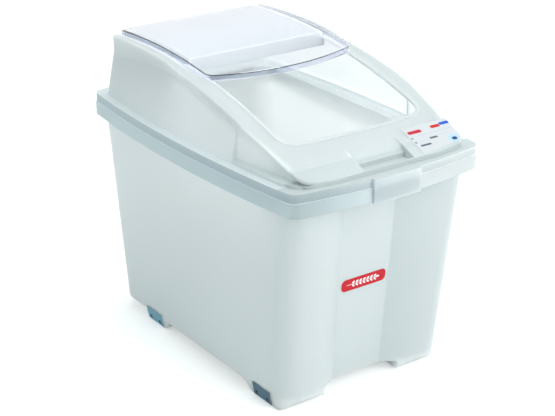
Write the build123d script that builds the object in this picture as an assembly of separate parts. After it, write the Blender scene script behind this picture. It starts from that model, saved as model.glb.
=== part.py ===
from build123d import *
import math
import os

# Floor-standing bin for dry ingredients: a tapered tub, a sloping hood that lifts off its rim and
# a clear curved cover that slides back over the hood's opening. X runs across, the front faces -Y
# and the ground is Z = 0. Sizes are in millimetres and angles in degrees.

# Tub
wall = 3.0
floor_thick = 4.0
floor_z = 20.0
rim_z = 378.4
base_half_w = 161.6
base_front = 245.0
base_rear = 255.0
tub_corner = 35.0

# Channel down the front of the tub
channel_depth_base = 25.3
channel_depth_top = 29.3
channel_turn = 36.0
channel_crease = 4.0

# Rim, with sides that bow outwards
rim_half_w = 181.5
rim_half_d = 290.0
rim_bow_w = 17.3
rim_bow_d = 16.2
rim_corner = 18.5
rim_skirt = 23.2
rim_sheet = 3.0
rim_step_side = 5.4
rim_step_front = 9.7
rim_step_rear = 6.1
upstand_height = 9.0
upstand_thick = 2.5

# Lobes under the corners of the floor
lobe_clear = 2.0
lobe_inset = 3.6
lobe_width = 77.0
lobe_slope = 10.0
lobe_toe = 14.0
lobe_heel = 1.0
lobe_heel_slope = 30.0
lobe_lean = 10.0
lobe_wall = 4.0
lobe_root = 1.0

# Foot blocks and their screws
foot_length = 48.4
foot_thick = 14.0
foot_rise = 5.0
foot_front_setback = 61.9
foot_rear_setback = 111.8
foot_edge = 1.5
foot_play = 0.4
pocket_wall = 2.0
screw_pitch = 29.0
screw_z = 8.0
screw_head_d = 7.0
screw_head_h = 2.0
screw_shank_d = 3.6
screw_length = 24.0
screw_sink = 0.6
screw_play = 0.35

# Hood
seat_gap = 0.3
collar_inset = 1.3
collar_height = 14.4
sheet = 3.0
fit_gap = 0.7
hood_inset = 14.3
hood_corner = 26.0
head_rise = 118.0
head_inset = 5.0
head_front_step = 40.0
head_rear_step = 32.0
head_bow = 2.0

# Curved top of the hood, one cylinder about an axis along X
top_r = 1119.0
top_crown_y = 165.0
lip_step = 8.0
lip_step_side = 23.5
lip_bow = 12.0
lip_rise = 5.2
lip_corner = 25.0
frame_step_side = 12.5
frame_wide_y = -150.0
frame_taper = 6.5
frame_rear_step = 25.5
frame_rear_corner = 27.0
frame_depth = 10.0
frame_round = 3.0
rear_round = 12.0

# Opening in the hood and the coaming round it
apron_length = 71.0
opening_bow = 6.0
opening_corner = 27.0
coaming_width = 5.5
coaming_rise = 1.2
coaming_gap = 1.0

# Deck behind the opening, and the shoulders beside the cover
deck_rise = 8.0
deck_front = 56.0
deck_step = 7.5
deck_flange = 24.0
shoulder_rise = 5.0
shoulder_strip = 15.0
shoulder_ramp_foot = 28.0
shoulder_ramp_head = 75.0

# Side grips, finger pocket and front tab
grip_length = 148.0
grip_rise = 5.0
grip_depth = 8.0
grip_inset = 12.0
grip_corner = 18.0
grip_plate = 4.0
pocket_half_w = 48.0
pocket_lip = 6.0
pocket_floor = 22.0
pocket_slope = 26.0
pocket_slope_drop = 8.0
pocket_floor_rise = 3.0
tab_half_w = 45.0
tab_drop = 25.0
tab_gap = 1.5
tab_thick = 3.0

# Sliding cover, drawn pushed back
cover_sheet = 2.5
cover_gap = 0.4
cover_side_gap = 5.5
cover_front = 36.0
cover_front_bow = 21.3
cover_rear_gap = 13.5
cover_rear_bow = 10.0
cover_corner = 16.0

# Labels
label_thick = 0.3
label_left = 68.0
label_length = 51.0
label_margin = 1.0
badge_w = 88.0
badge_h = 21.0
badge_z = 187.5
badge_corner = 8.0

# Tolerance for picking edges
near = 0.1

mouth_half_w = rim_half_w - rim_step_side
mouth_front = rim_half_d - rim_step_front
mouth_rear = rim_half_d - rim_step_rear
lobe_outer = base_half_w - lobe_inset
lobe_inner = lobe_outer - lobe_width
foot_height = floor_z + foot_rise
foot_front_y = foot_front_setback - base_front
foot_rear_y = base_rear - foot_rear_setback
screw_face = lobe_outer - screw_sink
side_lean = (mouth_half_w - base_half_w) / (rim_z - floor_z)
ledge_z = rim_z + collar_height + seat_gap
lip_side = rim_half_d - lip_step
lip_front = lip_side + lip_bow
lip_half_w = rim_half_w - lip_step_side
frame_half_w = rim_half_w - frame_step_side
frame_rear_half_w = frame_half_w - frame_taper
frame_rear = rim_half_d - frame_rear_step
head_half_w = frame_rear_half_w - head_inset
head_front = rim_half_d - head_front_step
head_rear = rim_half_d - head_rear_step
opening_front = lip_side - apron_length
grip_y = grip_length - lip_side
grip_front = lip_side - grip_inset
grip_end = lip_half_w - grip_depth
pocket_front = lip_front - pocket_lip
pocket_step = pocket_front - pocket_floor
pocket_back = pocket_step - pocket_slope
cover_rear = frame_rear - cover_rear_gap
label_back = lip_side - label_length
axis_z = ledge_z + lip_rise - math.sqrt(top_r**2 - (lip_front + top_crown_y) ** 2)
tall = ledge_z + head_rise
above_all = 2 * tall
shoulder_half_w = frame_rear_half_w - shoulder_strip
cover_half_w = shoulder_half_w - cover_side_gap
opening_half_w = cover_half_w - cover_sheet - coaming_gap - coaming_width
deck_half_w = cover_half_w - cover_sheet - deck_step


def surface_z(radius, y):
    """Height at y of a surface concentric with the hood's top."""
    return axis_z + math.sqrt(radius**2 - (y - top_crown_y) ** 2)


def barrel(radius):
    """Everything below a surface concentric with the hood's top."""
    return Pos(0, top_crown_y, axis_z) * Rot(0, 90, 0) * Cylinder(radius, 4 * rim_half_w)


def block(x_low, x_high, y_low, y_high, z_low, z_high):
    """Box between two corners."""
    centre = Pos((x_low + x_high) / 2, (y_low + y_high) / 2, (z_low + z_high) / 2)
    return centre * Box(x_high - x_low, y_high - y_low, z_high - z_low)


def bowed(half_w, half_d, bow_w, bow_d, corner):
    """Rounded rectangle whose sides bow outwards."""
    outline = [
        ThreePointArc((-half_w, -half_d), (0, -half_d - bow_d), (half_w, -half_d)),
        ThreePointArc((half_w, -half_d), (half_w + bow_w, 0), (half_w, half_d)),
        ThreePointArc((half_w, half_d), (0, half_d + bow_d), (-half_w, half_d)),
        ThreePointArc((-half_w, half_d), (-half_w - bow_w, 0), (-half_w, -half_d)),
    ]
    face = make_face(outline)
    return fillet(face.vertices(), corner)


def rim_plan(inset, corner):
    """Outline of the rim drawn in by inset."""
    return bowed(rim_half_w - inset, rim_half_d - inset, rim_bow_w, rim_bow_d, corner)


def slab(plan, z_low, z_high):
    """Plan outline extruded between two heights."""
    return extrude(Pos(0, 0, z_low) * plan, amount=z_high - z_low)


def tub_plan(half_w, front, rear, channel_depth, inset):
    """Level section of the tub drawn in by inset: each side of the channel is one convex arc."""
    start = half_w - tub_corner
    radius = channel_depth / (1 - math.cos(math.radians(channel_turn))) - inset
    crease = start - math.sqrt(2 * radius * channel_depth - channel_depth**2)
    front_y = inset - front
    floor_y = front_y + channel_depth
    side = half_w - inset
    turn = tub_corner - inset
    face = make_face(
        [
            CenterArc((-start, front_y + turn), turn, 180, 90),
            TangentArc((-start, front_y), (-crease, floor_y), tangent=(1, 0)),
            Line((-crease, floor_y), (crease, floor_y)),
            TangentArc((start, front_y), (crease, floor_y), tangent=(-1, 0)),
            CenterArc((start, front_y + turn), turn, 270, 90),
            Line((side, front_y + turn), (side, rear - inset)),
            Line((side, rear - inset), (-side, rear - inset)),
            Line((-side, rear - inset), (-side, front_y + turn)),
        ]
    )
    face = fillet(face.vertices().sort_by(Axis.Y)[-2:], turn)
    creases = sorted(face.vertices(), key=lambda v: abs(v.X))[:2]
    return fillet(creases, channel_crease + inset)


def tub_body(inset, z_low):
    """Tapered tub between its base and its mouth, drawn in by inset."""
    base = tub_plan(base_half_w, base_front, base_rear, channel_depth_base, inset)
    mouth = tub_plan(mouth_half_w, mouth_front, mouth_rear, channel_depth_top, inset)
    return loft([Pos(0, 0, z_low) * base, Pos(0, 0, rim_z) * mouth], ruled=True)


def s_curve(start, end):
    """Two equal arcs between two points, level at both."""
    middle = ((start[0] + end[0]) / 2, (start[1] + end[1]) / 2)
    first = TangentArc(start, middle, tangent=(math.copysign(1, end[0] - start[0]), 0))
    second = TangentArc(middle, end, tangent=first % 1)
    return [first, second]


def lobe_face():
    """One lobe seen from the front: an S-curve on its inner side, upright on its outer side."""
    top = floor_z + lobe_root
    return make_face(
        s_curve((lobe_inner - lobe_slope, floor_z), (lobe_inner, lobe_clear))
        + [
            Line((lobe_inner, lobe_clear), (lobe_outer, lobe_clear)),
            Line((lobe_outer, lobe_clear), (base_half_w, floor_z)),
            Line((base_half_w, floor_z), (base_half_w, top)),
            Line((base_half_w, top), (lobe_inner - lobe_slope, top)),
            Line((lobe_inner - lobe_slope, top), (lobe_inner - lobe_slope, floor_z)),
        ]
    )


def lobe_side(toe_top, toe_edges, toe_low, heel_low, heel_top):
    """One lobe seen from the side, from its toe to the S-curve at its heel."""
    top = floor_z + lobe_root
    return make_face(
        toe_edges
        + [Line((toe_low, lobe_clear), (heel_low, lobe_clear))]
        + s_curve((heel_low, lobe_clear), (heel_top, floor_z))
        + [
            Line((heel_top, floor_z), (heel_top, top)),
            Line((heel_top, top), (toe_top, top)),
            Line((toe_top, top), (toe_top, floor_z)),
        ]
    )


def make_lobes():
    """The right-hand front and rear lobes, cored from below."""
    drop = floor_z - lobe_clear
    front_end = foot_front_y + foot_length / 2
    toe = foot_front_y - foot_length / 2 - lobe_toe
    heel = front_end + lobe_heel
    round_toe = [TangentArc((toe - drop, floor_z), (toe, lobe_clear), tangent=(0, -1))]
    front = lobe_side(toe - drop, round_toe, toe, heel, heel + lobe_heel_slope)
    rear_toe = foot_rear_y + foot_length / 2
    rear_heel = foot_rear_y - foot_length / 2 - lobe_heel
    lean = rear_toe + drop * math.tan(math.radians(lobe_lean))
    plain_toe = [Line((lean, floor_z), (rear_toe, lobe_clear))]
    rear = lobe_side(lean, plain_toe, rear_toe, rear_heel, rear_heel - lobe_heel_slope)
    plan = tub_plan(base_half_w, base_front, base_rear, channel_depth_base, 0)
    footprint = slab(plan, 0, floor_z + lobe_root)
    across = extrude(Plane.XZ * lobe_face(), amount=base_rear + base_front, both=True)
    core_out = lobe_outer - foot_thick - lobe_wall
    core_in = lobe_inner + lobe_wall
    lobes = []
    for side, low, high in ((front, toe, heel), (rear, rear_heel, rear_toe)):
        along = extrude(Plane.YZ * side, amount=base_half_w)
        core = block(core_in, core_out, low + lobe_wall, high - lobe_wall, 0, floor_z)
        lobes.append((along & across & footprint) - core)
    return lobes


def make_tub():
    """Body, lobes with their foot pockets, and the rim with its skirt and upstand."""
    outside = tub_body(0, floor_z)
    tub = outside - tub_body(wall, floor_z + floor_thick)
    for lobe in make_lobes():
        tub += lobe + mirror(lobe, Plane.YZ)
    rim = slab(rim_plan(0, rim_corner), rim_z - rim_skirt, rim_z)
    under = rim_plan(rim_sheet, rim_corner - rim_sheet)
    rim -= slab(under, rim_z - rim_skirt, rim_z - rim_sheet)
    stand = collar_inset + sheet + fit_gap
    upstand = slab(rim_plan(stand, rim_corner - stand), rim_z - rim_sheet, rim_z + upstand_height)
    inner = stand + upstand_thick
    upstand -= slab(rim_plan(inner, rim_corner - inner), rim_z - rim_sheet, rim_z + upstand_height)
    tub += (rim + upstand) - tub_body(wall, floor_z + floor_thick)
    half = foot_length / 2 + foot_play
    inner = lobe_outer - foot_thick
    top = foot_height + foot_play
    for y in (foot_front_y, foot_rear_y):
        end = half + pocket_wall
        roof = block(inner - pocket_wall, rim_half_w, y - end, y + end, floor_z, top + pocket_wall)
        roof &= outside
        tub += roof + mirror(roof, Plane.YZ)
        pocket = block(inner, rim_half_w, y - half, y + half, 0, top)
        tub -= pocket + mirror(pocket, Plane.YZ)
    for screw in make_screws():
        tub -= screw
    return tub


def make_foot(y):
    """Right-hand foot block at y, flush with the lobe and the tub, with two counterbored holes."""
    inner = lobe_outer - foot_thick
    tuck = (base_half_w - lobe_outer) / (floor_z - lobe_clear)
    face = Polygon(
        (inner, 0),
        (lobe_outer - lobe_clear * tuck, 0),
        (base_half_w, floor_z),
        (base_half_w + (foot_height - floor_z) * side_lean, foot_height),
        (inner, foot_height),
        align=None,
    )
    foot = Pos(0, y, 0) * extrude(Plane.XZ * face, amount=foot_length / 2, both=True)
    low = foot.edges().group_by(Axis.Z)[0]
    foot = chamfer(low, foot_edge)
    for offset in (-screw_pitch / 2, screw_pitch / 2):
        place = Pos(screw_face - screw_head_h, y + offset, screw_z) * Rot(0, 90, 0)
        foot -= extrude(place * Circle(screw_head_d / 2 + screw_play), amount=foot_thick)
        foot -= extrude(place * Circle(screw_shank_d / 2), amount=-foot_thick)
    return foot


def make_screws():
    """Two pan-head screws in each of the four feet."""
    screws = []
    for y in (foot_front_y, foot_rear_y):
        for offset in (-screw_pitch / 2, screw_pitch / 2):
            place = Pos(screw_face, y + offset, screw_z) * Rot(0, -90, 0)
            head = extrude(place * Circle(screw_head_d / 2), amount=screw_head_h)
            shank = extrude(place * Circle(screw_shank_d / 2), amount=screw_length)
            screw = head + shank
            screws += [screw, mirror(screw, Plane.YZ)]
    return screws


def hood_walls(inset):
    """Tapered walls of the hood as a solid, drawn in by inset."""
    foot = rim_plan(hood_inset + inset, hood_corner - inset)
    half_d = (head_front + head_rear) / 2
    head = bowed(head_half_w - inset, half_d - inset, head_bow, head_bow, hood_corner - inset)
    shift = (head_rear - head_front) / 2
    return loft([Pos(0, 0, ledge_z - sheet) * foot, Pos(0, shift, tall) * head], ruled=True)


def rear_profile(inset):
    """Side view of everything under the deck and ahead of the rear wall, rounded between them."""
    low = ledge_z - sheet
    foot = rim_half_d + rim_bow_d - hood_inset - inset
    head = head_rear + head_bow - inset
    view = Polygon((-rim_half_d, low), (foot, low), (head, tall), (-rim_half_d, tall), align=None)
    view &= Pos(top_crown_y, axis_z) * Circle(top_r + deck_rise - inset)
    edge = view.vertices().sort_by(Axis.X)[-2]
    view = fillet(edge, rear_round - inset)
    return extrude(Plane.YZ * view, amount=2 * rim_half_w, both=True)


def shoulder_zone(inset):
    """Space under the raised strip on the right of the cover."""
    low_x = shoulder_half_w + inset
    strip = block(low_x, rim_half_w, shoulder_ramp_foot, rim_half_d, ledge_z, tall)
    return strip & barrel(top_r + shoulder_rise - inset)


def shoulder_ramp(inset):
    """Space over the ramp at the strip's front end."""
    low = (shoulder_ramp_foot, surface_z(top_r, shoulder_ramp_foot) - inset)
    high = (shoulder_ramp_head, surface_z(top_r + shoulder_rise, shoulder_ramp_head) - inset)
    side = Polygon(low, high, (shoulder_ramp_head, tall), (shoulder_ramp_foot, tall), align=None)
    return extrude(Plane.YZ * side, amount=rim_half_w)


def deck_zone(inset):
    """Space under the deck behind the opening."""
    half = deck_half_w - inset
    zone = block(-half, half, deck_front + inset, rim_half_d, ledge_z, tall)
    return zone & barrel(top_r + deck_rise - inset)


def round_top(solid, least_x):
    """Round the outer edges of a solid's curved top."""
    edges = []
    for edge in solid.edges():
        middle = edge @ 0.5
        radius = math.hypot(middle.Y - top_crown_y, middle.Z - axis_z)
        if radius > top_r - near and abs(middle.X) >= least_x and middle.Y < frame_rear - near:
            edges.append(edge)
    return fillet(edges, frame_round)


def grip_recess(inset):
    """Where the walls step in under the lid's front corners, for lifting the hood."""
    keep = Polygon(
        (-frame_half_w + inset, grip_y + inset),
        (-grip_end + inset, -grip_front + inset),
        (grip_end - inset, -grip_front + inset),
        (frame_half_w - inset, grip_y + inset),
        align=None,
    )
    corners = keep.vertices().sort_by(Axis.Y)[:2]
    keep = fillet(corners, grip_corner - inset)
    floor = ledge_z + grip_rise - inset
    zone = block(-rim_half_d, rim_half_d, -2 * rim_half_d, grip_y + inset, floor, tall)
    return zone - slab(keep, floor, tall)


def grip_undercut():
    """Space in the two recesses up to the thin plate that the lid is over them."""
    middle = grip_end - grip_corner
    zone = grip_recess(0) & barrel(top_r - grip_plate)
    return zone - block(-middle, middle, -2 * rim_half_d, grip_y, ledge_z, tall)


def finger_pocket(grow):
    """Pocket in the apron: a sloping back, a step and a level floor behind the lip."""
    back = -pocket_back + grow
    step = -pocket_step + grow
    front = -pocket_front - grow
    floor = ledge_z + pocket_floor_rise - grow
    profile = Polygon(
        (back, tall),
        (back, surface_z(top_r, -pocket_back) - grow),
        (step, surface_z(top_r, -pocket_step) - pocket_slope_drop - grow),
        (step, floor),
        (front, floor),
        (front, tall),
        align=None,
    )
    return extrude(Plane.YZ * profile, amount=pocket_half_w + grow, both=True)


def hood_cavity():
    """Inside of the hood, one sheet thickness within its walls and top."""
    raised = shoulder_zone(sheet) - shoulder_ramp(sheet)
    under = barrel(top_r - sheet) + deck_zone(sheet) + raised + mirror(raised, Plane.YZ)
    cavity = hood_walls(sheet) & under & rear_profile(sheet)
    return cavity - grip_recess(sheet) - finger_pocket(sheet)


def lid_plan():
    """Outline of the hood's top: a bowed lip, sides that widen, and a rounded rear."""
    face = make_face(
        [
            ThreePointArc((-lip_half_w, -lip_side), (0, -lip_front), (lip_half_w, -lip_side)),
            Line((lip_half_w, -lip_side), (frame_half_w, frame_wide_y)),
            Line((frame_half_w, frame_wide_y), (frame_rear_half_w, frame_rear)),
            Line((frame_rear_half_w, frame_rear), (-frame_rear_half_w, frame_rear)),
            Line((-frame_rear_half_w, frame_rear), (-frame_half_w, frame_wide_y)),
            Line((-frame_half_w, frame_wide_y), (-lip_half_w, -lip_side)),
        ]
    )
    face = fillet(face.vertices().sort_by(Axis.Y)[:2], lip_corner)
    return fillet(face.vertices().sort_by(Axis.Y)[-2:], frame_rear_corner)


def opening_plan(grow):
    """Outline of the opening, up to the deck behind it."""
    half = opening_half_w + grow
    front = -opening_front - grow
    face = make_face(
        [
            ThreePointArc((-half, front + opening_bow), (0, front), (half, front + opening_bow)),
            Line((half, front + opening_bow), (half, deck_front)),
            Line((half, deck_front), (-half, deck_front)),
            Line((-half, deck_front), (-half, front + opening_bow)),
        ]
    )
    return fillet(face.vertices().sort_by(Axis.Y)[:2], opening_corner + grow)


def make_front_tab():
    """Tab that hangs from the hood's collar over the middle of the rim's front."""
    outer = -tab_gap - tab_thick
    low = rim_z - tab_drop
    shell = slab(rim_plan(outer, rim_corner), low, ledge_z)
    shell -= slab(rim_plan(-tab_gap, rim_corner), low, rim_z + seat_gap)
    shell -= slab(rim_plan(collar_inset + sheet, rim_corner), rim_z + seat_gap, ledge_z - sheet)
    return shell & block(-tab_half_w, tab_half_w, -2 * rim_half_d, -lip_side, low, ledge_z)


def make_hood():
    """Collar, walls, curved top with its opening, coaming, deck and shoulders."""
    outline = slab(lid_plan(), ledge_z - sheet, tall)
    top = round_top(outline & barrel(top_r), 0) - barrel(top_r - frame_depth)
    raised = round_top(outline & shoulder_zone(0), shoulder_half_w + near) - shoulder_ramp(0)
    raised += mirror(raised, Plane.YZ)
    walls = (hood_walls(0) & barrel(top_r - frame_depth)) - grip_recess(0)
    hood = (walls + top + raised + (outline & deck_zone(0))) & rear_profile(0)
    foot_z = rim_z + seat_gap
    inside = collar_inset + sheet
    hood += slab(rim_plan(collar_inset, rim_corner - collar_inset), foot_z, ledge_z)
    hood -= slab(rim_plan(inside, rim_corner - inside), foot_z, ledge_z - sheet)
    hood -= hood_cavity() + finger_pocket(0)
    hood -= grip_undercut()
    hood -= slab(opening_plan(0), ledge_z, tall)
    coaming = slab(opening_plan(coaming_width), ledge_z, tall) - slab(opening_plan(0), ledge_z, tall)
    coaming &= barrel(top_r + coaming_rise) - barrel(top_r - sheet)
    half = opening_half_w + coaming_width
    flange_z = surface_z(top_r + deck_rise, deck_front) - deck_flange
    flange = block(-half, half, deck_front, deck_front + sheet, flange_z, tall)
    flange &= barrel(top_r) + deck_zone(0)
    return hood + coaming + flange + make_front_tab()


def cover_plan(inset, rear_reach):
    """Outline of the cover; the sides and front drawn in by inset, the rear let out."""
    half = cover_half_w - inset
    front = -cover_front + inset
    rear = cover_rear + rear_reach
    face = make_face(
        [
            ThreePointArc((-half, front + cover_front_bow), (0, front), (half, front + cover_front_bow)),
            Line((half, front + cover_front_bow), (half, rear)),
            ThreePointArc((half, rear), (0, rear + cover_rear_bow), (-half, rear)),
            Line((-half, rear), (-half, front + cover_front_bow)),
        ]
    )
    return fillet(face.vertices().sort_by(Axis.Y)[:2], cover_corner - inset)


def make_cover():
    """Curved clear sheet with flanges at its sides and front."""
    under = top_r + deck_rise + cover_gap
    over = under + cover_sheet
    sheet_body = slab(cover_plan(0, 0), ledge_z, above_all)
    hollow = slab(cover_plan(cover_sheet, cover_corner), ledge_z, above_all) & barrel(under)
    return (sheet_body & barrel(over)) - hollow - barrel(top_r + coaming_rise + cover_gap)


def make_hood_label():
    """Printed label on the right of the apron, out to the rounding of its edges."""
    flat = offset(lid_plan(), amount=-frame_round - label_margin)
    film = slab(flat, ledge_z, tall) & (barrel(top_r + label_thick) - barrel(top_r))
    return film & block(label_left, rim_half_w, -rim_half_d, -label_back, ledge_z, tall)


def make_badge():
    """Rounded sticker on the floor of the channel."""
    run = (mouth_front - channel_depth_top) - (base_front - channel_depth_base)
    lean = run / (rim_z - floor_z)
    y = -(base_front - channel_depth_base) - lean * (badge_z - floor_z)
    face = Plane(origin=(0, y, badge_z), x_dir=(1, 0, 0), z_dir=(0, -1, -lean))
    return extrude(face * RectangleRounded(badge_w, badge_h, badge_corner), amount=label_thick)


os.makedirs("parts", exist_ok=True)
front_foot = make_foot(foot_front_y)
rear_foot = make_foot(foot_rear_y)
nodes = {
    "tub": make_tub(),
    "foot_front_right": front_foot,
    "foot_front_left": mirror(front_foot, Plane.YZ),
    "foot_rear_right": rear_foot,
    "foot_rear_left": mirror(rear_foot, Plane.YZ),
    "foot_screws": Compound(make_screws()),
    "hood": make_hood(),
    "sliding_cover": make_cover(),
    "hood_label": make_hood_label(),
    "front_badge": make_badge(),
}
centre_y = (tab_gap + tab_thick) / 2
for name, shape in nodes.items():
    shape = Pos(0, centre_y, 0) * shape
    export_step(shape, "parts/" + name + ".step")
    size = shape.bounding_box().size
    print(name, round(shape.volume / 1000), "cm3", round(size.X), round(size.Y), round(size.Z))
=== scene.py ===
import math

import bpy
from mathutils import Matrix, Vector


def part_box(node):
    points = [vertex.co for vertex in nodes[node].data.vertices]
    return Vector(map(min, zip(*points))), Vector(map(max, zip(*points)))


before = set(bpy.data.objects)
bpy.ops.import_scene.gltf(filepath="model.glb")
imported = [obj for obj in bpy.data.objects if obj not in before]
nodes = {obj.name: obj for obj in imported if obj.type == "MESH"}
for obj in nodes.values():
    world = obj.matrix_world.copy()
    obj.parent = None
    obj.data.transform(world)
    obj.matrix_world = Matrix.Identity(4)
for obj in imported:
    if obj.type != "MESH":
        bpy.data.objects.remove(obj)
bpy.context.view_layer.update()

# Viewpoint: a long lens off the bin's front left corner and above its hood, looking down at it
# with the horizon level.
camera = bpy.data.objects.new("camera", bpy.data.cameras.new("camera"))
camera.data.lens = 94.5
camera.data.clip_end = 40
camera.location = (-1.309, -1.833, 1.190)
azimuth, elevation = math.radians(35.52), math.radians(23.07)
level = math.cos(elevation)
looking = Vector((math.sin(azimuth) * level, math.cos(azimuth) * level, -math.sin(elevation)))
camera.rotation_mode = "QUATERNION"
camera.rotation_quaternion = looking.to_track_quat("-Z", "Y")
bpy.context.scene.collection.objects.link(camera)
bpy.context.scene.camera = camera
bpy.context.scene.view_settings.view_transform = "Standard"


# Tub: injection-moulded polypropylene, milky white with a cool cast and a soft gloss. Its 3 mm wall
# lets some light through, and the mould leaves a fine grain and a slow waviness.
class Shade:
    """A socket of a material's node tree, whose sums and products become Math nodes."""

    def __init__(self, tree, socket=None):
        self.tree = tree
        self.socket = socket

    def node(self, kind, settings=None, sockets=None, out=0):
        """Adds a node of a type with its settings, then its sockets' values or links."""
        made = self.tree.nodes.new(kind)
        for name, value in (settings or {}).items():
            setattr(made, name, value)
        for name, value in (sockets or {}).items():
            if isinstance(value, Shade):
                self.tree.links.new(value.socket, made.inputs[name])
            else:
                made.inputs[name].default_value = value
        return Shade(self.tree, made.outputs[out]) if made.outputs else None

    def math(self, operation, *values, clamp=False):
        """Adds a Math node with these numbers or sockets as its inputs."""
        settings = {"operation": operation, "use_clamp": clamp}
        return self.node("ShaderNodeMath", settings, dict(enumerate(values)))

    def __add__(self, other):
        return self.math("ADD", self, other)

    def __radd__(self, other):
        return self.math("ADD", other, self)

    def __sub__(self, other):
        return self.math("SUBTRACT", self, other)

    def __rsub__(self, other):
        return self.math("SUBTRACT", other, self)

    def __mul__(self, other):
        return self.math("MULTIPLY", self, other)

    def __rmul__(self, other):
        return self.math("MULTIPLY", other, self)

    def __truediv__(self, other):
        return self.math("DIVIDE", self, other)

    def __abs__(self):
        return self.math("ABSOLUTE", self)

    def __gt__(self, other):
        return self.math("GREATER_THAN", self, other)

    def __lt__(self, other):
        return self.math("LESS_THAN", self, other)

    def between(self, low, high):
        """1 where the value lies between two limits, 0 elsewhere."""
        return (self > low) * (self < high)

    def ramp(self, start, full):
        """0 at a start and 1 at a full value, straight between them and level beyond."""
        return self.math("MULTIPLY", self - start, 1 / (full - start), clamp=True)

    def part(self, side):
        """X, Y or Z of a vector."""
        return self.node("ShaderNodeSeparateXYZ", None, {"Vector": self}, side)

    def noise(self, where, size, detail=2.0):
        """Soft noise whose patches are about size metres across, from 0 to 1."""
        sockets = {"Vector": where, "Scale": 1 / size, "Detail": detail}
        return self.node("ShaderNodeTexNoise", None, sockets)

    def tilt(self):
        """The way that the surface faces, in the object's own directions."""
        return self.node("ShaderNodeTexCoord", None, None, "Normal")

    def bump(self, strength, distance, height, normal):
        """A normal with a relief of a height in metres."""
        sockets = {"Strength": strength, "Distance": distance, "Height": height, "Normal": normal}
        return self.node("ShaderNodeBump", None, sockets)

    def softened(self, radius):
        """A normal whose sharp edges look rounded."""
        return self.node("ShaderNodeBevel", {"samples": 4}, {"Radius": radius})

    def mix(self, share, first, second):
        """First colour where share is 0, second where it is 1."""
        return self.node("ShaderNodeMix", {"data_type": "RGBA"}, {0: share, 6: first, 7: second}, 2)


def open_material(name):
    """An empty material, the Shade that adds its nodes, and the place on the object in metres."""
    material = bpy.data.materials.new(name)
    material.use_nodes = True
    material.node_tree.nodes.clear()
    shade = Shade(material.node_tree)
    return material, shade, shade.node("ShaderNodeTexCoord", None, None, "Object")


def colour(red, green, blue):
    """A colour given in sRGB values up to 255."""
    parts = [c / 255 for c in (red, green, blue)]
    return (*[c / 12.92 if c <= 0.04045 else ((c + 0.055) / 1.055) ** 2.4 for c in parts], 1)


# Places on the bin in metres, from its middle and from the ground.
skirt_from_side, skirt_from_front = 0.174, 0.2825
lip_start, lip_full = -0.2485, -0.2585
corner_start, corner_full = -0.03, -0.184
front_left, front_right = -0.13, 0.12
painted_glow_foot, painted_glow_full = 0.26, 0.371
slot_low, slot_high = 0.3775, 0.3905
rim_top, hood_wall_foot = 0.389, 0.4
# How far faces lean: skirts that turn to the front, inner faces, and faces that look up.
turning, turned = -0.267, -0.933
inner_face, upper_face = 0.03, 0.3
# Tones, and shares from 0 to 1, for painted shade, painted light and a painted glow.
lip_painted_shade, corner_painted_shade = colour(184, 193, 194), colour(150, 165, 168)
painted_glow_tint, painted_glow_share, slot_painted_glow_share = (0.93, 0.98, 1.0), 0.4, 0.6
wall_share, doubled_painted_shade_share, right_painted_light_share, lip_painted_shade_share = 0.14, 0.5, 0.8, 0.75


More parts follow.
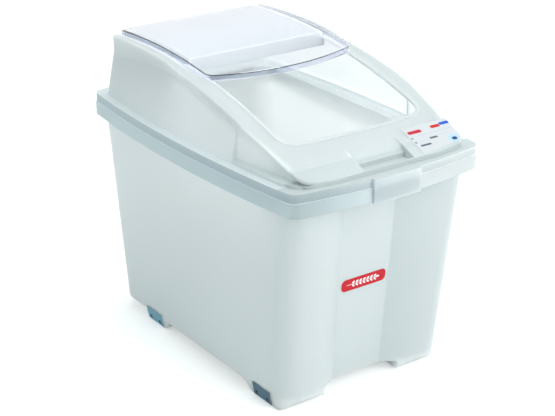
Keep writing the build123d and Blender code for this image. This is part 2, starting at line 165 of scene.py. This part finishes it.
def polypropylene(name, light, deep, gloss, dense_tone, skirt, skirt_painted_shade_left, skirt_painted_shade_right, glow, painted_glow_fade):
    """Moulded polypropylene. Light spreads in the milky sheet; painted shade darkens the doubled skirt,
    its front-left corner and the thick front lip, and painted light brightens the skirt to the right.
    A painted glow on inner faces and the slot under the rim stands for light through the walls, and
    painted_glow_fade takes it from the right of the hood's walls."""
    material, shade, where = open_material(name)
    across, along, height = (where.part(side) for side in "XYZ")
    tilt_x, tilt_y, tilt_z = (shade.tilt().part(side) for side in "XYZ")

    clouds = shade.noise(where, size=0.16, detail=3.0)
    flecks = shade.noise(where, size=0.004)
    rub = shade.noise(where, size=0.03, detail=4.0)
    grain = shade.noise(where, size=0.0011)
    soft = shade.softened(radius=0.0012)
    wave = shade.bump(strength=0.35, distance=0.0015, height=clouds, normal=soft)
    skin = shade.bump(strength=0.25, distance=0.00012, height=grain, normal=wave)

    outer = shade.math("MAXIMUM", abs(across) / skirt_from_side, abs(along) / skirt_from_front)
    doubled = height.between(*skirt) * (outer > 1.0)
    lip = along.ramp(lip_start, lip_full) * (height > skirt[1])
    # Painted shade on the skirt: darker at its front-left corner, and painted lighter towards the
    # right.
    facing_front = tilt_y.ramp(turning, turned)
    corner_shade_mask = facing_front * across.ramp(corner_start, corner_full)
    skirt_left_painted_tone = shade.mix(corner_shade_mask, skirt_painted_shade_left, corner_painted_shade)
    skirt_painted_tone = shade.mix(across.ramp(front_left, front_right), skirt_left_painted_tone, skirt_painted_shade_right)

    # Painted glow: inner faces and the slot under the rim glow, standing in for light through the
    # walls.
    facing_in = tilt_x * across + tilt_y * along < inner_face
    covered = shade.math("MAXIMUM", tilt_z < upper_face, height < rim_top)
    painted_glow_fading = across * painted_glow_fade * (height > hood_wall_foot)
    painted_glow_faded = shade.math("SUBTRACT", painted_glow_share, painted_glow_fading, clamp=True)
    wall_painted_glow = shade.math("MINIMUM", painted_glow_share, painted_glow_faded)
    slot = height.between(slot_low, slot_high)
    risen = height.ramp(painted_glow_foot, painted_glow_full)
    painted_glow_mask = facing_in * covered * risen * (wall_painted_glow + slot * slot_painted_glow_share)

    sockets = {
        "Roughness": gloss + (rub - 0.5) * 0.16,
        "Normal": skin,
        "IOR": 1.49,
        "Emission Strength": 1.0,
        "Emission Color": shade.mix(painted_glow_mask, (0, 0, 0, 1), (*[c * glow for c in painted_glow_tint], 1)),
    }
    # Painted shade: the plain sheet's tone is darker on the doubled skirt and the front lip.
    tone_with_painted_shade = shade.mix(doubled, shade.mix(lip, dense_tone, lip_painted_shade), skirt_painted_tone)
    dense_with_painted_shade = shade.node("ShaderNodeBsdfPrincipled", None, {**sockets, "Base Color": tone_with_painted_shade})
    milky = shade.node(
        "ShaderNodeBsdfPrincipled",
        None,
        {
            **sockets,
            "Base Color": shade.mix(clouds * 0.7 + flecks * 0.3, light, deep),
            "Subsurface Weight": 1.0,
            "Subsurface Radius": (1.0, 1.0, 1.0),
            "Subsurface Scale": 0.06,
        },
    )
    # More plain sheet on the skirt and lip is painted shade; less of it to the right is painted light.
    dense_and_painted_shade_share = wall_share + doubled * (doubled_painted_shade_share - across * right_painted_light_share) + lip * lip_painted_shade_share
    surface = shade.node("ShaderNodeMixShader", None, {0: dense_and_painted_shade_share, 1: milky, 2: dense_with_painted_shade})
    shade.node("ShaderNodeOutputMaterial", None, {"Surface": surface})
    return material


def finish_node(name, material):
    """Gives a CAD node its finish."""
    shown = nodes[name]
    shown.data.materials.clear()
    shown.data.materials.append(material)


tub_finish = polypropylene(
    "tub_polypropylene",
    light=colour(245, 253, 253),
    deep=colour(241, 251, 251),
    gloss=0.36,
    dense_tone=colour(224, 240, 241),
    skirt=(0.353, 0.3786),
    skirt_painted_shade_left=colour(186, 206, 212),
    skirt_painted_shade_right=colour(197, 200, 202),
    glow=0.24,
    painted_glow_fade=0.0,
)
finish_node("tub", tub_finish)

# Feet: blue-grey blocks of a tougher plastic, set into the outer sides of the lobes. Their faces
# carry a coarser spark-eroded grain, worn lighter where they meet the floor. The front pair is painted
# darker as shade under the tub, and the rear pair paler as painted light.
def close_material(shade, sockets):
    """The surface shader with these sockets, and the material's output."""
    surface = shade.node("ShaderNodeBsdfPrincipled", None, sockets)
    shade.node("ShaderNodeOutputMaterial", None, {"Surface": surface})


worn_height = 0.0016
foot_material, shade, where = open_material("foot_plastic")
along, height = (where.part(side) for side in "YZ")
rear = along > 0.0
scuff = shade.noise(where, size=0.006, detail=4.0)
worn = shade.math("MULTIPLY", height < worn_height, scuff, clamp=True)
grain = shade.noise(where, size=0.0007)
soft = shade.softened(radius=0.0008)
rough = shade.bump(strength=0.5, distance=0.0002, height=grain, normal=soft)
# Painted shade on the front pair and painted light on the rear pair, over the feet's own blue-grey.
foot_tone_with_painted_light = shade.mix(rear, colour(44, 88, 110), colour(92, 154, 176))
worn_tone_with_painted_light = shade.mix(rear, colour(82, 130, 152), colour(136, 194, 210))
close_material(
    shade,
    {
        "Base Color": shade.mix(worn + scuff * 0.3, foot_tone_with_painted_light, worn_tone_with_painted_light),
        "Roughness": 0.46 + (scuff - 0.5) * 0.2,
        "Normal": rough,
    },
)
for place in ("front_right", "front_left", "rear_right", "rear_left"):
    finish_node("foot_" + place, foot_material)

# Foot screws: pan heads of zinc-plated steel, two through each block into the lobe behind it. Their
# plating is faintly streaked.
screw_material, shade, where = open_material("screw_steel")
brushed = shade.noise(where, size=0.0009, detail=3.0)
close_material(
    shade,
    {
        "Base Color": shade.mix(brushed, colour(150, 152, 156), colour(104, 106, 112)),
        "Metallic": 1.0,
        "Roughness": 0.28 + brushed * 0.2,
    },
)
finish_node("foot_screws", screw_material)

# Hood: the same polypropylene, a little greyer and duller than the tub, moulded in one piece with its
# collar, grips and front tab. It lifts off the rim.
hood_finish = polypropylene(
    "hood_polypropylene",
    light=colour(239, 247, 247),
    deep=colour(234, 244, 244),
    gloss=0.42,
    dense_tone=colour(208, 220, 223),
    skirt=(0.350, 0.3925),
    skirt_painted_shade_left=colour(167, 187, 195),
    skirt_painted_shade_right=colour(214, 221, 222),
    glow=0.24,
    painted_glow_fade=2.0,
)
finish_node("hood", hood_finish)

# Sliding cover: one curved sheet of clear polycarbonate with the faint blue of that plastic, painted
# deeper on its flanges as shade for the sheet seen edge-on. It runs over the hood's rear deck, and its
# shadow stays as light as the sheet.
cover_material, shade, where = open_material("cover_polycarbonate")
steep = 0.5
# Steep faces get a deeper painted blue: painted shade for the sheet seen edge-on.
flange_painted_shade = abs(shade.tilt().part("Z")) < steep
sheet = shade.node(
    "ShaderNodeBsdfPrincipled",
    None,
    {
        "Base Color": shade.mix(flange_painted_shade, colour(250, 251, 255), colour(230, 232, 246)),
        "Roughness": 0.04,
        "IOR": 1.4,
        "Transmission Weight": 1.0,
    },
)
clear = shade.node("ShaderNodeBsdfTransparent", None, {"Color": colour(250, 251, 255)})
shadow = shade.node("ShaderNodeLightPath", None, None, "Is Shadow Ray")
both = shade.node("ShaderNodeMixShader", None, {0: shadow, 1: sheet, 2: clear})
shade.node("ShaderNodeOutputMaterial", None, {"Surface": both})
finish_node("sliding_cover", cover_material)

# Apron label: a thin white film stuck to the hood's front corner. Its print is a legend without
# words: a red tab, a red and blue scale, lines of plain dashes and a round blue spot.
label_material, shade, where = open_material("label_film")
along, up = (where.part(side) for side in "XY")


def dash(left, right, middle, tall):
    """1 inside a bar with round ends that lies across the label, 0 outside, in millimetres."""
    half = (right - left - tall) / 2000
    beyond = shade.math("MAXIMUM", abs(along - (left + right) / 2000) - half, 0.0)
    off = up - middle / 1000
    return beyond * beyond + off * off < (tall / 2000) ** 2


paper = shade.mix(shade.noise(where, size=0.02), colour(200, 203, 206), colour(196, 200, 203))
blue_grey = colour(120, 140, 160)
pale_grey = colour(186, 194, 200)
dark_grey = colour(84, 94, 110)
ink = paper
for left, right, middle, tall, tint in (
    (72, 99, -241.4, 6.4, colour(186, 14, 44)),  # tab
    (119, 138, -239.6, 6, colour(188, 14, 12)),  # warm half of the scale
    (138, 158, -237.6, 6, colour(8, 82, 190)),  # cold half of the scale
    (84, 152, -250, 1.2, colour(176, 190, 200)),  # rule
    (70, 74, -252.7, 4, blue_grey),  # dots beside the rows
    (70, 74, -261.7, 4, blue_grey),
    (80, 96, -262, 1.6, pale_grey),  # rows
    (122, 150, -258, 1.6, pale_grey),
    (101, 117, -260, 3.5, dark_grey),  # bolder dashes in the rows
    (75, 96, -270, 3.5, dark_grey),
    (131, 153, -271.5, 16, colour(168, 204, 240)),  # round spot and its middle
    (137, 147, -271.5, 6, colour(26, 50, 104)),
):
    ink = shade.mix(dash(left, right, middle, tall), ink, tint)
film = shade.noise(where, size=0.008, detail=3.0)
close_material(
    shade, {"Base Color": ink, "Roughness": 0.32 + (film - 0.5) * 0.1, "Specular IOR Level": 0.25}
)
finish_node("hood_label", label_material)

# Badge: a rounded red sticker on the floor of the channel, with an ear of grain lying along it in
# white: pairs of kernels on a thin stem.
badge_material, shade, where = open_material("badge_film")
along, height = (where.part(side) for side in "XZ")
badge_low, badge_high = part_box("front_badge")
pitch, pairs = 0.0072, 7
kernel_long, kernel_thick, kernel_out = 0.0024, 0.0022, 0.0030
kernel_lean, kernel_shift = 0.55, 0.0004
tip_long, tip_thick, tip_place = 0.0036, 0.0017, 0.0278
stem_end, stem_half = -0.034, 0.0004
from_stem = abs(height - (badge_low[2] + badge_high[2]) / 2)
step = (along + pitch * pairs / 2) / pitch
within = shade.math("FRACT", step) * pitch - pitch * 0.5
kernel_u = (within - from_stem * kernel_lean + kernel_shift) / kernel_long
kernel_v = (from_stem - kernel_out) / kernel_thick
kernels = (kernel_u * kernel_u + kernel_v * kernel_v < 1.0) * step.between(0.0, float(pairs))
tip_u = (along - tip_place) / tip_long
tip_v = from_stem / tip_thick
stem = (from_stem < stem_half) * along.between(stem_end, tip_place)
tip = tip_u * tip_u + tip_v * tip_v < 1.0
grain_ear = shade.math("MAXIMUM", shade.math("MAXIMUM", kernels, stem), tip)
film = shade.noise(where, size=0.006, detail=3.0)
close_material(
    shade,
    {
        "Base Color": shade.mix(grain_ear, colour(196, 6, 28), colour(244, 244, 244)),
        "Roughness": 0.3 + (film - 0.5) * 0.1,
        "Specular IOR Level": 0.25,
    },
)
finish_node("front_badge", badge_material)

# Studio: a white floor that keeps the bin's soft shadow, a white surround with a faint cyan light,
# and four soft square lamps. The floor and the surround look white to the camera, and in gloss and
# through the clear cover, without more light on the bin.
def seen_directly(shade):
    """1 for what the camera sees, also in gloss and through clear plastic, 0 for light on the bin."""
    kinds = ("Is Camera Ray", "Is Glossy Ray", "Is Transmission Ray")
    camera_ray, gloss_ray, clear_ray = (shade.node("ShaderNodeLightPath", None, None, k) for k in kinds)
    return shade.math("ADD", camera_ray + gloss_ray, clear_ray, clamp=True)


reach = 12
floor_corners = [(-reach, -reach, 0), (reach, -reach, 0), (reach, reach, 0), (-reach, reach, 0)]
floor_mesh = bpy.data.meshes.new("studio_floor")
floor_mesh.from_pydata(floor_corners, [], [(0, 1, 2, 3)])
floor = bpy.data.objects.new("studio_floor", floor_mesh)
bpy.context.scene.collection.objects.link(floor)
floor_material, shade, where = open_material("studio_floor")
floor_white, floor_lift = 0.82, 0.38
lit = shade.node("ShaderNodeBsdfDiffuse", None, {"Color": (floor_white, floor_white, floor_white, 1)})
lift = seen_directly(shade) * floor_lift
glow = shade.node("ShaderNodeEmission", None, {"Color": (1, 1, 1, 1), "Strength": lift})
both = shade.node("ShaderNodeAddShader", None, {0: lit, 1: glow})
shade.node("ShaderNodeOutputMaterial", None, {"Surface": both})
floor_mesh.materials.append(floor_material)

world = bpy.data.worlds.new("studio")
bpy.context.scene.world = world
world.use_nodes = True
world.node_tree.nodes.clear()
shade = Shade(world.node_tree)
cyan_light, light_strength = (0.9, 1.0, 1.0, 1), 0.58
plain = shade.node("ShaderNodeBackground", None, {"Color": cyan_light, "Strength": light_strength})
white = shade.node("ShaderNodeBackground", None, {"Color": (1, 1, 1, 1), "Strength": 1.0})
mixed = shade.node("ShaderNodeMixShader", None, {0: seen_directly(shade), 1: plain, 2: white})
shade.node("ShaderNodeOutputWorld", None, {"Surface": mixed})

lit_point = Vector((0, 0, 0.3))
for name, place, size, power in (
    ("lamp_front_right", (0.9, -2.9, 2.2), 2.0, 66),
    ("lamp_right", (2.9, 0.2, 1.5), 1.8, 32),
    ("lamp_left", (-2.4, 0.9, 2.4), 2.0, 12),
    ("lamp_overhead", (0.4, 0.5, 3.2), 2.4, 34),
):
    lamp = bpy.data.objects.new(name, bpy.data.lights.new(name, "AREA"))
    lamp.data.size = size
    lamp.data.energy = power
    lamp.location = place
    lamp.rotation_mode = "QUATERNION"
    lamp.rotation_quaternion = (lit_point - Vector(place)).to_track_quat("-Z", "Y")
    bpy.context.scene.collection.objects.link(lamp)
